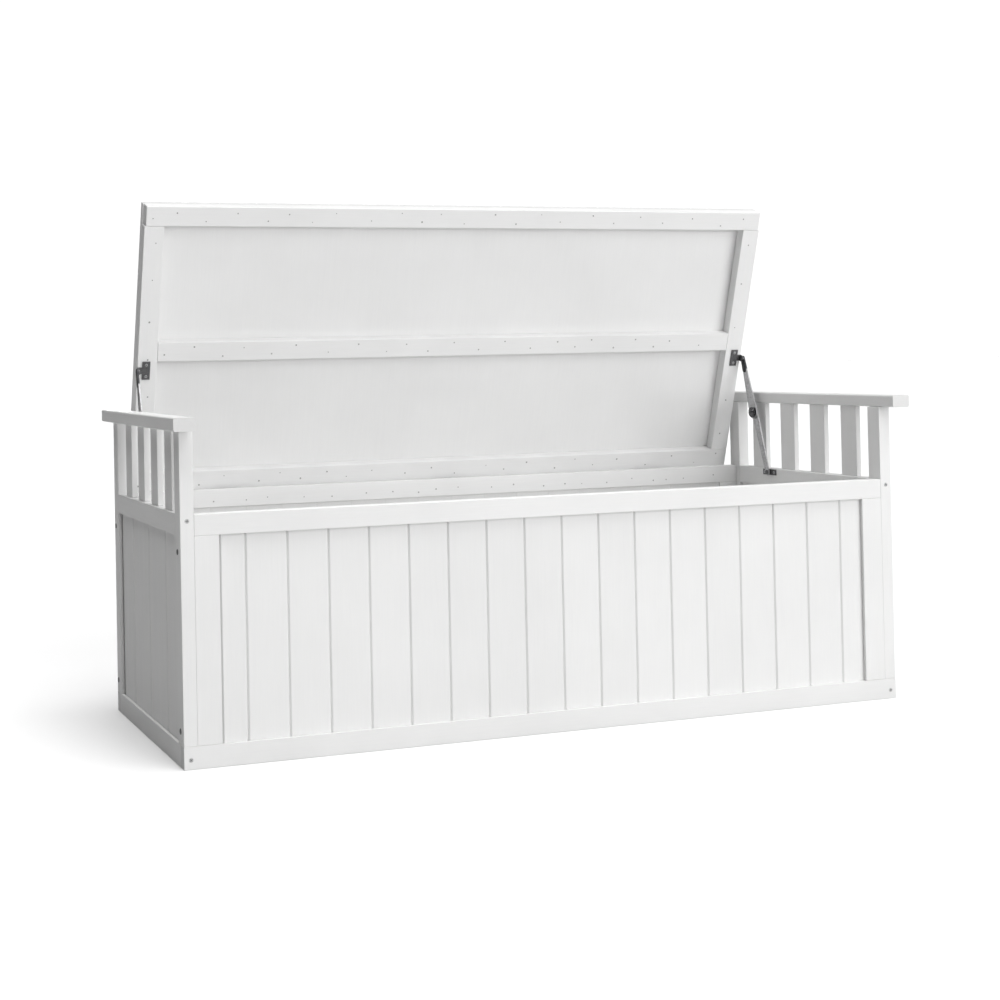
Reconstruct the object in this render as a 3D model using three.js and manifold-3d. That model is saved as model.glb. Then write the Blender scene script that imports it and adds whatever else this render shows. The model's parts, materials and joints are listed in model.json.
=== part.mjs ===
// A painted wooden storage bench: a framed box with a hinged seat lid, slatted arm ends
// and two folding lid stays. Millimetres, +Z up, +X along the bench, front towards -Y,
// floor at Z = 0. The lid stands open against its stays.
import * as THREE from 'three';
import Module from 'manifold-3d';
import { mergeVertices } from 'three/addons/utils/BufferGeometryUtils.js';

const wasm = await Module();
wasm.setup();

// ---------- Driving dimensions ----------

// Box
const BENCH_LENGTH = 1290; // over the posts
const BENCH_DEPTH = 500; // over the posts
const BOX_HEIGHT = 388; // floor to the top of the top rails
const POST_HEIGHT = 516; // floor to the underside of the armrests
const FRAME_THICKNESS = 22; // every rail and stile
const BASE_RAIL_HEIGHT = 35;
const TOP_RAIL_HEIGHT = 33;
const STILE_WIDTH = 39;
const POST_WIDTH = 22; // along X
const POST_DEPTH = 34; // along Y

// Boards, tongued together and held in grooves in the frame
const BOARD_THICKNESS = 10;
const GROOVE_LIP = 5; // frame left behind the front and rear boards
const END_GROOVE_LIP = 6; // frame left behind the end boards
const BOARD_WIDTH = 67.6; // front, rear and lid boards
const END_BOARD_WIDTH = 122;
const BOARD_TONGUE = 6; // how far a board enters its groove
const GROOVE_END_GAP = 1;
const GROOVE_SIDE_GAP = 0.3;
const VEE_WIDTH = 5; // vee joint between two boards
const VEE_DEPTH = 2.5;

// Arm ends
const SLAT_COUNT = 4;
const SLAT_THICKNESS = 9.5;
const SLAT_WIDTH = 47;
const SLAT_END_GAP = 43.5; // post to the first slat
const ARMREST_WIDTH = 34;
const ARMREST_THICKNESS = 21;
const ARMREST_SETBACK = 4; // post's inner face to the armrest's inner edge
const ARMREST_FRONT_OVERHANG = 36;
const ARMREST_REAR_OVERHANG = 23;
const ARMREST_EDGE_RADIUS = 3;

// Floor of the box
const FLOOR_THICKNESS = 9;
const FLOOR_HEIGHT = 22; // underside of the floor panel
const FLOOR_GAP = 0.5; // round the floor panel
const CLEAT_WIDTH = 18;
const CLEAT_HEIGHT = 18;

// Lid
const LID_SIDE_GAP = 10; // post to lid, on each side
const LID_FRONT_OVERHANG = 27.5;
const LID_REST_GAP = 1; // lid to rail when shut
const LID_BOARD_THICKNESS = 12;
const BATTEN_THICKNESS = 22;
const BATTEN_WIDTH = 35;
const FRONT_BATTEN_INSET = 2.5; // end of the front batten to the side of the lid
const MIDDLE_BATTEN_FROM_REAR = 246; // rear edge of the lid to the middle batten
const LID_OPEN_ANGLE = 72.2; // degrees
const LAP = 0.3; // between pieces that are fastened together inside a turned group

// Butt hinges
const HINGE_COUNT = 3;
const HINGE_AXIS_DROP = 6; // top of the box down to the hinge axis
const HINGE_END_DISTANCE = 178; // end of the lid to the middle of the outer hinge
const LEAF_LENGTH = 60;
const LEAF_HEIGHT = 24;
const LEAF_THICKNESS = 1.5;
const KNUCKLE_RADIUS = 3;
const KNUCKLE_GAP = 0.4;
const HINGE_PIN_RADIUS = 1.5;
const HINGE_PIN_CLEARANCE = 0.1;
const HINGE_PIN_END = 1.2; // pin stands past each end of the knuckles

// Folding lid stays
const BOX_PIVOT_FROM_REAR = 146; // rear of the box to the pivot
const BOX_PIVOT_DROP = 7; // top of the box down to the pivot
const LID_PIVOT_FROM_REAR = 230.5; // rear edge of the lid to the pivot
const LID_PIVOT_DROP = 7.5; // underside of the lid to the pivot
const LOWER_ARM_LENGTH = 124;
const KNEE_LOCK = 1.5; // the open stay's knee stands this far behind the line of its pivots
const ARM_THICKNESS = 2.6;
const ARM_GAP = 0.3; // between plates that slide on each other
const ARM_END_RADIUS = 5; // upper arm, at the lid
const FOOT_RADIUS = 6; // lower arm, at the box
const UPPER_KNEE_RADIUS = 13;
const LOWER_KNEE_RADIUS = 9;
const PIVOT_RADIUS = 2.4;
const PIVOT_CLEARANCE = 0.1;
const KNEE_RIVET_RADIUS = 2.8;
const KNEE_CAP_RADIUS = 10;
const KNEE_CAP_HEIGHT = 4;
const RIVET_HEAD_RADIUS = 4.4;
const RIVET_HEAD_HEIGHT = 1.5;
const BRACKET_THICKNESS = 2;
const BOX_BRACKET_LENGTH = 44;
const BOX_BRACKET_HEIGHT = 11;
const LID_BRACKET_LENGTH = 33;
const LID_BRACKET_WIDTH = 14;
const LID_BRACKET_INSET = 8.5; // side of the lid to the bracket's plate
const LID_EAR_RADIUS = 6;

const ROUND_SEGMENTS = 24;
const CUT_PAST = 1; // a cutting block runs this far past the face that it opens

// ---------- Materials ----------

const paint = new THREE.MeshStandardMaterial({ color: 0xf1f0ec, roughness: 0.45, metalness: 0 });
const rawPly = new THREE.MeshStandardMaterial({ color: 0xe9e7e1, roughness: 0.6, metalness: 0 });
const steel = new THREE.MeshStandardMaterial({ color: 0x8d8f91, roughness: 0.35, metalness: 0.9 });
const darkSteel = new THREE.MeshStandardMaterial({ color: 0x5c5e61, roughness: 0.4, metalness: 0.9 });

// ---------- Derived places ----------

const halfLength = BENCH_LENGTH / 2;
const halfDepth = BENCH_DEPTH / 2;
const insideX = halfLength - POST_WIDTH; // inner faces of the posts
const postInnerY = halfDepth - POST_DEPTH;
const faceRecess = FRAME_THICKNESS - GROOVE_LIP - BOARD_THICKNESS; // frame face to board face
const endRecess = POST_WIDTH - END_GROOVE_LIP - BOARD_THICKNESS;
const topRailBottom = BOX_HEIGHT - TOP_RAIL_HEIGHT;
const lidUnderside = BOX_HEIGHT + LID_REST_GAP;
const lidHalfWidth = insideX - LID_SIDE_GAP;
const lidFront = -halfDepth - LID_FRONT_OVERHANG;
const hingeY = halfDepth + KNUCKLE_RADIUS;
const hingeZ = BOX_HEIGHT - HINGE_AXIS_DROP;
const openAngle = THREE.MathUtils.degToRad(LID_OPEN_ANGLE);

// Where a point of the shut lid is, in Y and Z, once the lid stands open.
function openedPoint(y, z) {
  const dy = y - hingeY;
  const dz = z - hingeZ;
  return new THREE.Vector2(
    hingeY + dy * Math.cos(openAngle) + dz * Math.sin(openAngle),
    hingeZ - dy * Math.sin(openAngle) + dz * Math.cos(openAngle),
  );
}

// The origin lies midway between the armrests' front ends and the open lid's rear edge.
const lidTopRear = openedPoint(halfDepth, lidUnderside + BATTEN_THICKNESS + LAP + LID_BOARD_THICKNESS);
const rearmost = Math.max(lidTopRear.x, halfDepth + ARMREST_REAR_OVERHANG);
const frontmost = -halfDepth - ARMREST_FRONT_OVERHANG;

const bench = new THREE.Group();
bench.position.y = -(frontmost + rearmost) / 2;

const lid = new THREE.Group(); // holds the lid in its shut place, turned open about the hinges
const lidPivot = new THREE.Group();
lidPivot.position.set(0, hingeY, hingeZ);
lidPivot.rotation.x = -openAngle;
lid.position.set(0, -hingeY, -hingeZ);
lidPivot.add(lid);
bench.add(lidPivot);

// ---------- Shape helpers ----------

function toSolid(geometry) {
  const bare = geometry.clone();
  bare.deleteAttribute('normal');
  bare.deleteAttribute('uv');
  const merged = mergeVertices(bare, 1e-4);
  return new wasm.Manifold(new wasm.Mesh({
    numProp: 3,
    vertProperties: new Float32Array(merged.attributes.position.array),
    triVerts: new Uint32Array(merged.index.array),
  }));
}

function toGeometry(solid) {
  const mesh = solid.getMesh();
  const geometry = new THREE.BufferGeometry();
  geometry.setAttribute('position', new THREE.BufferAttribute(mesh.vertProperties, 3));
  geometry.setIndex(new THREE.BufferAttribute(mesh.triVerts, 1));
  geometry.computeVertexNormals();
  return geometry;
}

// A block between two corners.
function block(x, y, z) {
  const geometry = new THREE.BoxGeometry(x[1] - x[0], y[1] - y[0], z[1] - z[0]);
  geometry.translate((x[0] + x[1]) / 2, (y[0] + y[1]) / 2, (z[0] + z[1]) / 2);
  return geometry;
}

function cut(geometry, ...tools) {
  return toGeometry(tools.reduce((solid, tool) => solid.subtract(toSolid(tool)), toSolid(geometry)));
}

function join(...geometries) {
  return toGeometry(geometries.map(toSolid).reduce((all, next) => all.add(next)));
}

// A cylinder along X from x[0] to x[1], centred at (y, z).
function rod(radius, x, y, z, segments = ROUND_SEGMENTS) {
  const geometry = new THREE.CylinderGeometry(radius, radius, x[1] - x[0], segments);
  geometry.rotateZ(Math.PI / 2);
  geometry.translate((x[0] + x[1]) / 2, y, z);
  return geometry;
}

// A flat plate whose outline is drawn in (Y, Z), from x[0] to x[1].
function plate(shape, x) {
  const geometry = new THREE.ExtrudeGeometry(shape, {
    depth: x[1] - x[0], bevelEnabled: false, curveSegments: ROUND_SEGMENTS / 2,
  });
  const axes = new THREE.Matrix4().makeBasis(
    new THREE.Vector3(0, 1, 0), new THREE.Vector3(0, 0, 1), new THREE.Vector3(1, 0, 0),
  );
  geometry.applyMatrix4(axes);
  geometry.translate(x[0], 0, 0);
  return geometry;
}

// The X span from a to b on the side of the bench that side (+1 or -1) names.
function sideSpan(side, a, b) {
  return side > 0 ? [a, b] : [-b, -a];
}

function add(name, geometry, material, parent = bench) {
  const mesh = new THREE.Mesh(geometry, material);
  mesh.name = name;
  parent.add(mesh);
  return mesh;
}

const SIDES = [['left', -1], ['right', 1]];
const FACES = [['front', -1], ['rear', 1]];

// The Y span of a layer that lies from a to b behind the front (-1) or rear (+1) face.
function faceSpan(face, a, b) {
  return face < 0 ? [-halfDepth + a, -halfDepth + b] : [halfDepth - b, halfDepth - a];
}

// The X span of a layer that lies from a to b inside the left (-1) or right (+1) end.
function endSpan(side, a, b) {
  return sideSpan(side, halfLength - b, halfLength - a);
}

// ---------- Boards ----------

// A panel of tongued boards: u runs across the boards, v into the panel from its show face,
// and the boards run along w. The middle joint lies on u = 0, and each joint is a vee.
function boardPanel(span, boardWidth, thickness, length, axisU, axisV) {
  const reach = span / 2 - BOARD_TONGUE - VEE_WIDTH;
  const joints = Math.floor(reach / boardWidth);
  const shape = new THREE.Shape();
  shape.moveTo(-span / 2, 0);
  for (let joint = -joints; joint <= joints; joint += 1) {
    const u = joint * boardWidth;
    shape.lineTo(u - VEE_WIDTH / 2, 0);
    shape.lineTo(u, VEE_DEPTH);
    shape.lineTo(u + VEE_WIDTH / 2, 0);
  }
  shape.lineTo(span / 2, 0);
  shape.lineTo(span / 2, thickness);
  shape.lineTo(-span / 2, thickness);
  const geometry = new THREE.ExtrudeGeometry(shape, { depth: length, bevelEnabled: false });
  const axisW = new THREE.Vector3().crossVectors(axisU, axisV);
  geometry.applyMatrix4(new THREE.Matrix4().makeBasis(axisU, axisV, axisW));
  return geometry;
}

const boardsBottom = BASE_RAIL_HEIGHT - BOARD_TONGUE;
const boardsTop = topRailBottom + BOARD_TONGUE;
const grooveDepth = BOARD_TONGUE + GROOVE_END_GAP;

// From and to how deep a groove lies behind the face that its boards are recessed from.
function grooveDepths(recess) {
  return [recess - GROOVE_SIDE_GAP, recess + BOARD_THICKNESS + GROOVE_SIDE_GAP];
}

const AXIS_X = new THREE.Vector3(1, 0, 0);
const AXIS_Y = new THREE.Vector3(0, 1, 0);

// ---------- Base frame and floor ----------

const stileInnerX = insideX - STILE_WIDTH;
const floorX = insideX - FLOOR_GAP;
const floorY = halfDepth - FRAME_THICKNESS - FLOOR_GAP;

for (const [faceName, face] of FACES) {
  const grooveX = stileInnerX + grooveDepth;
  const rail = block([-halfLength, halfLength], faceSpan(face, 0, FRAME_THICKNESS), [0, BASE_RAIL_HEIGHT]);
  const groove = block(
    [-grooveX, grooveX],
    faceSpan(face, ...grooveDepths(faceRecess)),
    [BASE_RAIL_HEIGHT - grooveDepth, BASE_RAIL_HEIGHT + CUT_PAST],
  );
  add(`base_${faceName}_rail`, cut(rail, groove), paint);

  const cleatY = faceSpan(face, FRAME_THICKNESS, FRAME_THICKNESS + CLEAT_WIDTH);
  const cleatZ = [FLOOR_HEIGHT - CLEAT_HEIGHT, FLOOR_HEIGHT];
  add(`floor_cleat_${faceName}`, block([-floorX, floorX], cleatY, cleatZ), paint);
}

for (const [sideName, side] of SIDES) {
  const reach = halfDepth - FRAME_THICKNESS;
  const grooveY = postInnerY + grooveDepth;
  const rail = block(sideSpan(side, insideX, halfLength), [-reach, reach], [0, BASE_RAIL_HEIGHT]);
  const groove = block(
    endSpan(side, ...grooveDepths(endRecess)),
    [-grooveY, grooveY],
    [BASE_RAIL_HEIGHT - grooveDepth, BASE_RAIL_HEIGHT + CUT_PAST],
  );
  add(`base_${sideName}_rail`, cut(rail, groove), paint);
}

const floorZ = [FLOOR_HEIGHT, FLOOR_HEIGHT + FLOOR_THICKNESS];
add('floor_panel', block([-floorX, floorX], [-floorY, floorY], floorZ), rawPly);

// ---------- Front and rear panels ----------

for (const [faceName, face] of FACES) {
  const faceY = faceSpan(face, 0, FRAME_THICKNESS);
  const grooveY = faceSpan(face, ...grooveDepths(faceRecess));
  const grooveX = stileInnerX + grooveDepth;

  const rail = block([-insideX, insideX], faceY, [topRailBottom, BOX_HEIGHT]);
  const railGrooveZ = [topRailBottom - CUT_PAST, topRailBottom + grooveDepth];
  const railGroove = block([-grooveX, grooveX], grooveY, railGrooveZ);
  add(`${faceName}_top_rail`, cut(rail, railGroove), paint);

  for (const [sideName, side] of SIDES) {
    const stile = block(sideSpan(side, stileInnerX, insideX), faceY, [BASE_RAIL_HEIGHT, topRailBottom]);
    const stileGroove = block(
      sideSpan(side, stileInnerX - CUT_PAST, stileInnerX + grooveDepth),
      grooveY,
      [BASE_RAIL_HEIGHT - CUT_PAST, topRailBottom + CUT_PAST],
    );
    add(`${faceName}_stile_${sideName}`, cut(stile, stileGroove), paint);
  }

  const boards = boardPanel(
    2 * (stileInnerX + BOARD_TONGUE), BOARD_WIDTH, BOARD_THICKNESS, boardsTop - boardsBottom,
    AXIS_X.clone().multiplyScalar(-face), AXIS_Y.clone().multiplyScalar(-face),
  );
  boards.translate(0, face * (halfDepth - faceRecess), boardsBottom);
  add(`${faceName}_boards`, boards, paint);
}

// ---------- Arm ends ----------

// Cross-section of an armrest, drawn round its centre, with small round edges.
function armrestSection() {
  const w = ARMREST_WIDTH / 2;
  const h = ARMREST_THICKNESS / 2;
  const r = Math.min(ARMREST_EDGE_RADIUS, w / 2, h / 2);
  const shape = new THREE.Shape();
  shape.absarc(w - r, h - r, r, 0, Math.PI / 2);
  shape.absarc(-w + r, h - r, r, Math.PI / 2, Math.PI);
  shape.absarc(-w + r, -h + r, r, Math.PI, 1.5 * Math.PI);
  shape.absarc(w - r, -h + r, r, 1.5 * Math.PI, 2 * Math.PI);
  return shape;
}

function slatCentre(index) {
  const first = -postInnerY + SLAT_END_GAP + SLAT_WIDTH / 2;
  return first + (index * -2 * first) / (SLAT_COUNT - 1);
}

for (const [sideName, side] of SIDES) {
  const postX = sideSpan(side, insideX, halfLength);
  const grooveX = endSpan(side, ...grooveDepths(endRecess));

  for (const [faceName, face] of FACES) {
    const post = block(postX, faceSpan(face, 0, POST_DEPTH), [BASE_RAIL_HEIGHT, POST_HEIGHT]);
    const groove = block(
      grooveX,
      faceSpan(face, POST_DEPTH - grooveDepth, POST_DEPTH + CUT_PAST),
      [BASE_RAIL_HEIGHT - CUT_PAST, boardsTop + GROOVE_END_GAP],
    );
    add(`post_${faceName}_${sideName}`, cut(post, groove), paint);
  }

  const rail = block(postX, [-postInnerY, postInnerY], [topRailBottom, BOX_HEIGHT]);
  const railGroove = block(
    grooveX,
    [-postInnerY - CUT_PAST, postInnerY + CUT_PAST],
    [topRailBottom - CUT_PAST, topRailBottom + grooveDepth],
  );
  add(`end_top_rail_${sideName}`, cut(rail, railGroove), paint);

  const boards = boardPanel(
    2 * (postInnerY + BOARD_TONGUE), END_BOARD_WIDTH, BOARD_THICKNESS, boardsTop - boardsBottom,
    AXIS_Y.clone().multiplyScalar(side), AXIS_X.clone().multiplyScalar(-side),
  );
  boards.translate(side * (halfLength - endRecess), 0, boardsBottom);
  add(`end_boards_${sideName}`, boards, paint);

  const slatX = halfLength - POST_WIDTH / 2;
  for (let index = 0; index < SLAT_COUNT; index += 1) {
    const y = slatCentre(index);
    add(`arm_slat_${sideName}_${index + 1}`, block(
      sideSpan(side, slatX - SLAT_THICKNESS / 2, slatX + SLAT_THICKNESS / 2),
      [y - SLAT_WIDTH / 2, y + SLAT_WIDTH / 2],
      [BOX_HEIGHT, POST_HEIGHT],
    ), paint);
  }

  const armLength = BENCH_DEPTH + ARMREST_FRONT_OVERHANG + ARMREST_REAR_OVERHANG;
  const armrest = new THREE.ExtrudeGeometry(armrestSection(), {
    depth: armLength, bevelEnabled: false, curveSegments: 3,
  });
  armrest.rotateX(Math.PI / 2);
  armrest.translate(
    side * (insideX + ARMREST_SETBACK + ARMREST_WIDTH / 2),
    halfDepth + ARMREST_REAR_OVERHANG,
    POST_HEIGHT + ARMREST_THICKNESS / 2,
  );
  add(`armrest_${sideName}`, armrest, paint);
}

// ---------- Lid, drawn shut ----------

const battenZ = [lidUnderside, lidUnderside + BATTEN_THICKNESS];
const lidBoardsBottom = battenZ[1] + LAP;
const lidRearBattenFront = halfDepth - BATTEN_WIDTH;
const lidFrontBattenRear = lidFront + BATTEN_WIDTH;
const sideBattenInner = lidHalfWidth - BATTEN_WIDTH;
const middleBattenRear = halfDepth - MIDDLE_BATTEN_FROM_REAR;

const lidBoards = boardPanel(
  2 * lidHalfWidth, BOARD_WIDTH, LID_BOARD_THICKNESS, halfDepth - lidFront,
  AXIS_X, new THREE.Vector3(0, 0, -1),
);
lidBoards.translate(0, lidFront, lidBoardsBottom + LID_BOARD_THICKNESS);
add('lid_boards', lidBoards, paint, lid);

const lidX = [-lidHalfWidth, lidHalfWidth];
add('lid_batten_rear', block(lidX, [lidRearBattenFront, halfDepth], battenZ), paint, lid);
add('lid_batten_front', block(
  [-lidHalfWidth + FRONT_BATTEN_INSET, lidHalfWidth - FRONT_BATTEN_INSET],
  [lidFront, lidFrontBattenRear],
  battenZ,
), paint, lid);
add('lid_batten_middle', block(
  [-sideBattenInner + LAP, sideBattenInner - LAP],
  [middleBattenRear - BATTEN_WIDTH, middleBattenRear],
  battenZ,
), paint, lid);
for (const [sideName, side] of SIDES) {
  add(`lid_batten_${sideName}`, block(
    sideSpan(side, sideBattenInner, lidHalfWidth),
    [lidFrontBattenRear + LAP, lidRearBattenFront - LAP],
    battenZ,
  ), paint, lid);
}

// ---------- Butt hinges on the rear faces of the box and the lid ----------

// One leaf with its share of the three knuckles. up is +1 for the lid's leaf, -1 for the box's.
function hingeLeaf(x, up, faceY) {
  const knuckle = LEAF_LENGTH / 3;
  const starts = up > 0 ? [1] : [0, 2];
  const near = hingeZ + up * (KNUCKLE_RADIUS + KNUCKLE_GAP);
  const far = hingeZ + up * LEAF_HEIGHT;
  const leafY = [faceY, faceY + LEAF_THICKNESS];
  const leafX = [x - LEAF_LENGTH / 2, x + LEAF_LENGTH / 2];
  const parts = [block(leafX, leafY, [Math.min(near, far), Math.max(near, far)])];
  for (const start of starts) {
    const span = [
      leafX[0] + start * knuckle + KNUCKLE_GAP / 2,
      leafX[0] + (start + 1) * knuckle - KNUCKLE_GAP / 2,
    ];
    const tongue = hingeZ + up * (KNUCKLE_RADIUS + 2 * KNUCKLE_GAP);
    parts.push(block(span, leafY, [Math.min(hingeZ, tongue), Math.max(hingeZ, tongue)]));
    parts.push(rod(KNUCKLE_RADIUS, span, hingeY, hingeZ));
  }
  const boreX = [leafX[0] - CUT_PAST, leafX[1] + CUT_PAST];
  const bore = rod(HINGE_PIN_RADIUS + HINGE_PIN_CLEARANCE, boreX, hingeY, hingeZ);
  return cut(join(...parts), bore);
}

for (let index = 0; index < HINGE_COUNT; index += 1) {
  const reach = lidHalfWidth - HINGE_END_DISTANCE;
  const x = -reach + (2 * reach * index) / (HINGE_COUNT - 1);
  const pinReach = LEAF_LENGTH / 2 + HINGE_PIN_END;
  add(`hinge_${index + 1}_box_leaf`, hingeLeaf(x, -1, halfDepth), steel);
  add(`hinge_${index + 1}_lid_leaf`, hingeLeaf(x, 1, halfDepth + LAP), steel, lid);
  add(`hinge_${index + 1}_pin`, rod(HINGE_PIN_RADIUS, [x - pinReach, x + pinReach], hingeY, hingeZ), steel);
}

// ---------- Folding lid stays ----------

const boxPivot = new THREE.Vector2(halfDepth - BOX_PIVOT_FROM_REAR, BOX_HEIGHT - BOX_PIVOT_DROP);
const lidPivotShut = new THREE.Vector2(halfDepth - LID_PIVOT_FROM_REAR, lidUnderside - LID_PIVOT_DROP);
const lidPivotOpen = openedPoint(lidPivotShut.x, lidPivotShut.y);

// The knee of the open stay is pushed past the line between the two pivots, towards the rear.
function kneePoint() {
  const along = Math.sqrt(LOWER_ARM_LENGTH ** 2 - KNEE_LOCK ** 2);
  const line = lidPivotOpen.clone().sub(boxPivot).normalize();
  const rearward = new THREE.Vector2(line.y, -line.x);
  return boxPivot.clone().addScaledVector(line, along).addScaledVector(rearward, KNEE_LOCK);
}

// A bar between two pivots, with round ends of its own radii and a hole at each end.
function barShape(from, to, fromRadius, toRadius, fromHole, toHole) {
  const run = to.clone().sub(from);
  const turn = run.angle();
  const lean = Math.acos((fromRadius - toRadius) / run.length());
  const shape = new THREE.Shape();
  shape.absarc(to.x, to.y, toRadius, turn - lean, turn + lean, false);
  shape.absarc(from.x, from.y, fromRadius, turn + lean, turn - lean + 2 * Math.PI, false);
  for (const [centre, radius] of [[from, fromHole], [to, toHole]]) {
    if (radius > 0) {
      const hole = new THREE.Path();
      hole.absarc(centre.x, centre.y, radius, 0, 2 * Math.PI, true);
      shape.holes.push(hole);
    }
  }
  return shape;
}

// A domed head of revolution about X; it rises by height from the plane at x towards -side.
function domedHead(radius, height, side, x, centre) {
  const steps = 6;
  const points = [new THREE.Vector2(0, 0)];
  for (let step = 0; step <= steps; step += 1) {
    const angle = (step / steps) * (Math.PI / 2);
    points.push(new THREE.Vector2(radius * Math.cos(angle), height * Math.sin(angle)));
  }
  points[points.length - 1].x = 0;
  const geometry = new THREE.LatheGeometry(points, ROUND_SEGMENTS);
  geometry.rotateZ(side > 0 ? Math.PI / 2 : -Math.PI / 2);
  geometry.translate(side * x, centre.x, centre.y);
  return geometry;
}

const knee = kneePoint();
const upperArmX = lidHalfWidth + ARM_GAP; // the arms fold in planes just beside the lid
const lowerArmX = upperArmX + ARM_THICKNESS + ARM_GAP;
const armsEndX = lowerArmX + ARM_THICKNESS;
const earX = lidHalfWidth - BRACKET_THICKNESS;

for (const [sideName, side] of SIDES) {
  const pivotHole = PIVOT_RADIUS + PIVOT_CLEARANCE;
  const kneeHole = KNEE_RIVET_RADIUS + PIVOT_CLEARANCE;

  const lowerArm = barShape(boxPivot, knee, FOOT_RADIUS, LOWER_KNEE_RADIUS, pivotHole, kneeHole);
  add(`stay_lower_arm_${sideName}`, plate(lowerArm, sideSpan(side, lowerArmX, armsEndX)), steel);

  const upperArm = barShape(lidPivotOpen, knee, ARM_END_RADIUS, UPPER_KNEE_RADIUS, 0, kneeHole);
  const upperArmSpan = sideSpan(side, upperArmX, upperArmX + ARM_THICKNESS);
  add(`stay_upper_arm_${sideName}`, plate(upperArm, upperArmSpan), steel);

  // The knee rivet has a domed friction cap on its inner side and a flat head outside.
  const rivetX = sideSpan(side, upperArmX - ARM_GAP, armsEndX + ARM_GAP + RIVET_HEAD_HEIGHT);
  const flatHeadX = sideSpan(side, armsEndX + ARM_GAP, armsEndX + ARM_GAP + RIVET_HEAD_HEIGHT);
  add(`stay_knee_rivet_${sideName}`, join(
    rod(KNEE_RIVET_RADIUS, rivetX, knee.x, knee.y),
    rod(RIVET_HEAD_RADIUS, flatHeadX, knee.x, knee.y),
    domedHead(KNEE_CAP_RADIUS, KNEE_CAP_HEIGHT, side, upperArmX - ARM_GAP, knee),
  ), darkSteel);

  // Box bracket: a plate on the end rail with a pivot pin that carries the lower arm.
  const pinX = sideSpan(side, lowerArmX - ARM_GAP - RIVET_HEAD_HEIGHT, insideX - BRACKET_THICKNESS);
  const headX = sideSpan(side, lowerArmX - ARM_GAP - RIVET_HEAD_HEIGHT, lowerArmX - ARM_GAP);
  add(`stay_box_bracket_${sideName}`, join(
    block(
      sideSpan(side, insideX - BRACKET_THICKNESS, insideX),
      [boxPivot.x - BOX_BRACKET_LENGTH / 2, boxPivot.x + BOX_BRACKET_LENGTH / 2],
      [boxPivot.y - BOX_BRACKET_HEIGHT / 2, boxPivot.y + BOX_BRACKET_HEIGHT / 2],
    ),
    rod(PIVOT_RADIUS, pinX, boxPivot.x, boxPivot.y),
    rod(RIVET_HEAD_RADIUS, headX, boxPivot.x, boxPivot.y),
  ), darkSteel);

  // Lid bracket: a plate under the lid's side batten, with a tab out to an ear that laps the arm.
  const plateZ = [lidUnderside - LAP - BRACKET_THICKNESS, lidUnderside - LAP];
  const earShape = barShape(
    new THREE.Vector2(lidPivotShut.x, plateZ[0]), lidPivotShut, LID_EAR_RADIUS, LID_EAR_RADIUS, 0, 0,
  );
  const earSpan = sideSpan(side, earX, lidHalfWidth);
  const ear = cut(plate(earShape, earSpan), block(
    sideSpan(side, earX - CUT_PAST, lidHalfWidth + CUT_PAST),
    [lidPivotShut.x - 2 * LID_EAR_RADIUS, lidPivotShut.x + 2 * LID_EAR_RADIUS],
    [plateZ[1], plateZ[1] + 2 * LID_EAR_RADIUS],
  ));
  const plateOuterX = lidHalfWidth - LID_BRACKET_INSET;
  add(`stay_lid_bracket_${sideName}`, join(
    block(
      sideSpan(side, plateOuterX - LID_BRACKET_WIDTH, plateOuterX),
      [lidPivotShut.x - LID_BRACKET_LENGTH / 2, lidPivotShut.x + LID_BRACKET_LENGTH / 2],
      plateZ,
    ),
    block(
      sideSpan(side, plateOuterX - CUT_PAST, lidHalfWidth),
      [lidPivotShut.x - LID_EAR_RADIUS, lidPivotShut.x + LID_EAR_RADIUS],
      plateZ,
    ),
    ear,
    domedHead(PIVOT_RADIUS + 1, RIVET_HEAD_HEIGHT, side, earX, lidPivotShut),
  ), darkSteel, lid);
}

export default bench;
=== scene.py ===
"""Looks of a white painted storage bench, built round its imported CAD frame.

Metres, +Z up, +X along the bench, front towards -Y, floor at Z = 0. The lid stands open at rest.
"""
import json
import math
import random

import bmesh
import bpy
from mathutils import Matrix, Vector


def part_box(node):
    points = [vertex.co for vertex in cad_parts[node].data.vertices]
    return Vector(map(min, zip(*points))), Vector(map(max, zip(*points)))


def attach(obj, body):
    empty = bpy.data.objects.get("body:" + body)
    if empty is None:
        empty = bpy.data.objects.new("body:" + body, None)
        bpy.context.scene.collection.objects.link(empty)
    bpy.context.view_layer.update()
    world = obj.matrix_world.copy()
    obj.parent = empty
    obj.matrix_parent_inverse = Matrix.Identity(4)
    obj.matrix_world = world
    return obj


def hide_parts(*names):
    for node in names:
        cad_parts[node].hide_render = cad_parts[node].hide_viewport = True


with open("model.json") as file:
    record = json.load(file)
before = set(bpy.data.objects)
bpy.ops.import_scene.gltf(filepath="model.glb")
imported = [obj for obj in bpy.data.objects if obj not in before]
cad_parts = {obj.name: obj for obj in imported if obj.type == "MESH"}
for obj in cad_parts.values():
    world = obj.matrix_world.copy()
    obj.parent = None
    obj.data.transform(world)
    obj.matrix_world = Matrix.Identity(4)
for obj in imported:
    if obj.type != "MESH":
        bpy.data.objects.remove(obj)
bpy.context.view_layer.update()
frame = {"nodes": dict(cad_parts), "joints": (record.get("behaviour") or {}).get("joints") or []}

MM = 0.001
NODES = frame["nodes"]
JOINTS = {joint["name"]: joint for joint in frame["joints"]}
SIDES = (("left", -1), ("right", 1))
FACES = (("front", -1), ("rear", 1))

# ---------- Sizes of what is added here ----------

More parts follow.
